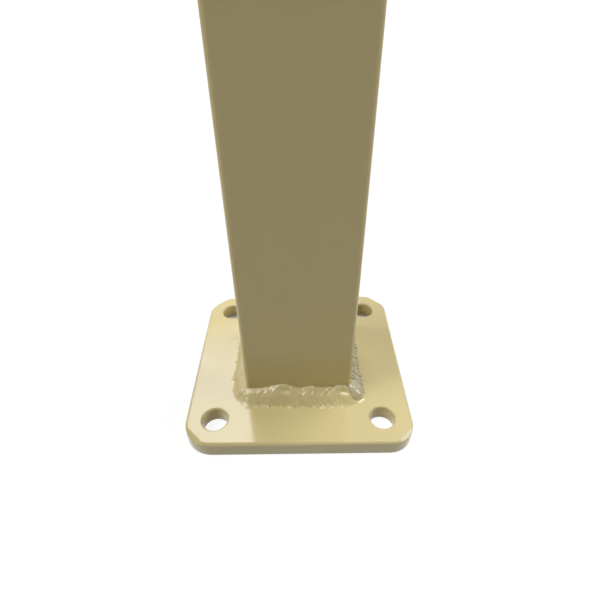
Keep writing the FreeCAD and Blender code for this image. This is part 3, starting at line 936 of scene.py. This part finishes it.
sections.append((tube_half - cap_edge - head_margin, tube_corner - cap_edge * corner_share, cap_high.z))
cap_rings = [cap_ring(*section) for section in sections]
skin_between(cap_mesh, cap_rings)
cap_mesh.faces.new(cap_rings[0])
cap_mesh.faces.new(cap_rings[-1])
cap = finished_object("cap_dressed", cap_mesh)

moulded = bpy.data.materials.new("cream_moulded_plastic")
moulded.use_nodes = True
tree = moulded.node_tree
cap_shader = tree.nodes["Principled BSDF"]
cap_spot = node_in(tree, "ShaderNodeTexCoord").outputs["Object"]
texture = node_in(tree, "ShaderNodeTexNoise", {"Vector": cap_spot, "Scale": 1800.0, "Detail": 3.0})
flow = node_in(tree, "ShaderNodeTexNoise", {"Vector": cap_spot, "Scale": 30.0, "Detail": 2.0})
ramp = node_in(tree, "ShaderNodeValToRGB", {"Fac": flow.outputs[0]})
ramp.color_ramp.elements[0].color = (0.68, 0.565, 0.3, 1)
ramp.color_ramp.elements[1].color = (0.73, 0.615, 0.34, 1)
grain = node_in(
    tree,
    "ShaderNodeMapRange",
    {"Value": texture.outputs[0], "From Min": 0.3, "From Max": 0.7, "To Min": 0.32, "To Max": 0.42},
)
dimple = node_in(tree, "ShaderNodeBump", {"Distance": 0.00002, "Height": texture.outputs[0]})
tree.links.new(ramp.outputs[0], cap_shader.inputs["Base Color"])
tree.links.new(grain.outputs[0], cap_shader.inputs["Roughness"])
tree.links.new(dimple.outputs["Normal"], cap_shader.inputs["Normal"])
cap.data.materials.append(moulded)
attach(cap, "root")
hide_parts("post_cap")

# Studio. A pale floor that shows white to the camera and keeps a soft shadow, a wide softbox on
# the left, a small one behind whose reflection ends across the plate, three fills and a dim room.
floor_half = 9
floor_corners = [(x * floor_half, y * floor_half, 0) for x, y in ((-1, -1), (1, -1), (1, 1), (-1, 1))]
floor_data = bpy.data.meshes.new("studio_floor")
floor_data.from_pydata(floor_corners, [], [(0, 1, 2, 3)])
floor = bpy.data.objects.new("studio_floor", floor_data)
bpy.context.scene.collection.objects.link(floor)
paper = bpy.data.materials.new("pale_floor")
paper.use_nodes = True
tree = paper.node_tree
tree.nodes.remove(tree.nodes["Principled BSDF"])
rays = tree.nodes.new("ShaderNodeLightPath").outputs
seen = rays["Is Camera Ray"]
for ray in (rays["Is Glossy Ray"], rays["Is Transmission Ray"]):
    seen = node_in(tree, "ShaderNodeMath", {0: seen, 1: ray}, operation="MAXIMUM").outputs[0]
# The paper doesn't glow under the plate's back half, where the far holes look down on it. The
# scale brings the sides of that dark box to 1.
dark_centre = (0.0, 0.0305, 0.0)
dark_scale = (16.9, 34.8, 0.0)
on_floor = node_in(tree, "ShaderNodeTexCoord").outputs["Object"]
behind = node_in(tree, "ShaderNodeVectorMath", {0: on_floor, 1: dark_centre}, operation="SUBTRACT")
behind = node_in(tree, "ShaderNodeVectorMath", {0: behind.outputs[0], 1: dark_scale}, operation="MULTIPLY")
behind = node_in(tree, "ShaderNodeVectorMath", {0: behind.outputs[0]}, operation="ABSOLUTE")
behind = node_in(tree, "ShaderNodeSeparateXYZ", {0: behind.outputs[0]})
beyond = node_in(tree, "ShaderNodeMath", {0: behind.outputs[0], 1: behind.outputs[1]}, operation="MAXIMUM")
open_floor = node_in(tree, "ShaderNodeMath", {0: beyond.outputs[0], 1: 1.0}, operation="GREATER_THAN")
seen = node_in(tree, "ShaderNodeMath", {0: seen, 1: open_floor.outputs[0]}, operation="MULTIPLY")
lit = node_in(tree, "ShaderNodeBsdfDiffuse", {"Color": (0.45, 0.45, 0.45, 1)})
faint = node_in(tree, "ShaderNodeBsdfDiffuse", {"Color": (0.16, 0.16, 0.16, 1)})
# The paper's glow grows to full white away from the post, so that its far edge doesn't show
away = node_in(tree, "ShaderNodeVectorMath", {0: on_floor}, operation="LENGTH")
whiter = node_in(
    tree,
    "ShaderNodeMapRange",
    {"Value": away.outputs["Value"], "From Min": 0.6, "From Max": 2.5, "To Min": 0.88, "To Max": 1.0},
)
glow = node_in(tree, "ShaderNodeEmission", {"Color": (1, 1, 1, 1), "Strength": whiter.outputs[0]})
bright = node_in(tree, "ShaderNodeAddShader", {0: faint.outputs[0], 1: glow.outputs[0]})
either = node_in(tree, "ShaderNodeMixShader", {0: seen.outputs[0], 1: lit.outputs[0], 2: bright.outputs[0]})
tree.links.new(either.outputs[0], tree.nodes["Material Output"].inputs["Surface"])
floor_data.materials.append(paper)

world = bpy.data.worlds.new("studio")
bpy.context.scene.world = world
world.use_nodes = True
tree = world.node_tree
fill = tree.nodes["Background"]
rays = tree.nodes.new("ShaderNodeLightPath").outputs
heading = node_in(tree, "ShaderNodeTexCoord").outputs["Generated"]
heading = node_in(tree, "ShaderNodeSeparateXYZ", {"Vector": heading})
# The room is bright behind the post and dim on the camera's side
even = node_in(
    tree,
    "ShaderNodeMapRange",
    {"Value": heading.outputs["Y"], "From Min": -0.6, "From Max": 0.5, "To Min": 0.03, "To Max": 0.06},
)
mirrored = node_in(
    tree,
    "ShaderNodeMapRange",
    {"Value": heading.outputs["Y"], "From Min": -0.7, "From Max": 0.3, "To Min": 0.0, "To Max": 1.0},
)
seen = node_in(
    tree, "ShaderNodeMath", {0: rays["Is Glossy Ray"], 1: rays["Is Transmission Ray"]}, operation="MAXIMUM"
)
strength = node_in(
    tree,
    "ShaderNodeMix",
    {"Factor": seen.outputs[0], "A": even.outputs[0], "B": mirrored.outputs[0]},
)
strength = node_in(
    tree, "ShaderNodeMix", {"Factor": rays["Is Camera Ray"], "A": strength.outputs[0], "B": 1.0}
)
fill.inputs["Color"].default_value = (1, 1, 1, 1)
tree.links.new(strength.outputs[0], fill.inputs["Strength"])

# The lamps face the post's lower end from one distance. Each has its turn from behind and its lift
# in degrees, its width and height in metres, and its radiance.
lamp_target = Vector((0, 0, 0.3))
lamp_distance = 20.0
for name, azimuth, elevation, width, height, radiance in (
    ("main_left", -100, 50, 11.0, 11.0, 5.5),
    ("key_behind_left", -16, 50, 4.5, 5.5, 6.5),
    ("high_back_right", 60, 70, 8.0, 8.0, 9.8),
    ("low_right", 100, 14, 7.0, 7.0, 5.8),
    ("high_front_left", -140, 70, 7.0, 7.0, 2.0),
):
    lamp = bpy.data.lights.new(name, "AREA")
    lamp.shape = "RECTANGLE"
    lamp.size, lamp.size_y = width, height
    lamp.energy = radiance * math.pi * width * height
    stand = bpy.data.objects.new(name, lamp)
    bpy.context.scene.collection.objects.link(stand)
    turn, lift = math.radians(azimuth), math.radians(elevation)
    away = Vector((math.sin(turn) * math.cos(lift), math.cos(turn) * math.cos(lift), math.sin(lift)))
    stand.location = lamp_target + away * lamp_distance
    stand.rotation_euler = away.to_track_quat("Z", "Y").to_euler()

# The camera that fits the plate's corners, the four holes and the tube's edges in the photograph
camera_data = bpy.data.cameras.new("photo_camera")
camera_data.lens = 26.29
camera_data.sensor_width = 36
camera_data.clip_start = 0.01
camera = bpy.data.objects.new("photo_camera", camera_data)
bpy.context.scene.collection.objects.link(camera)
camera_place = Matrix.Translation((0.00102, -0.2107, 0.2279))
camera_turn = Matrix.Rotation(math.radians(-0.17), 4, "Z")
camera_tilt = Matrix.Rotation(math.radians(90 - 38.5), 4, "X")
camera_roll = Matrix.Rotation(math.radians(-0.59), 4, "Z")
camera.matrix_world = camera_place @ (camera_turn @ camera_tilt) @ camera_roll
bpy.context.scene.camera = camera
bpy.context.scene.view_settings.view_transform = "Standard"
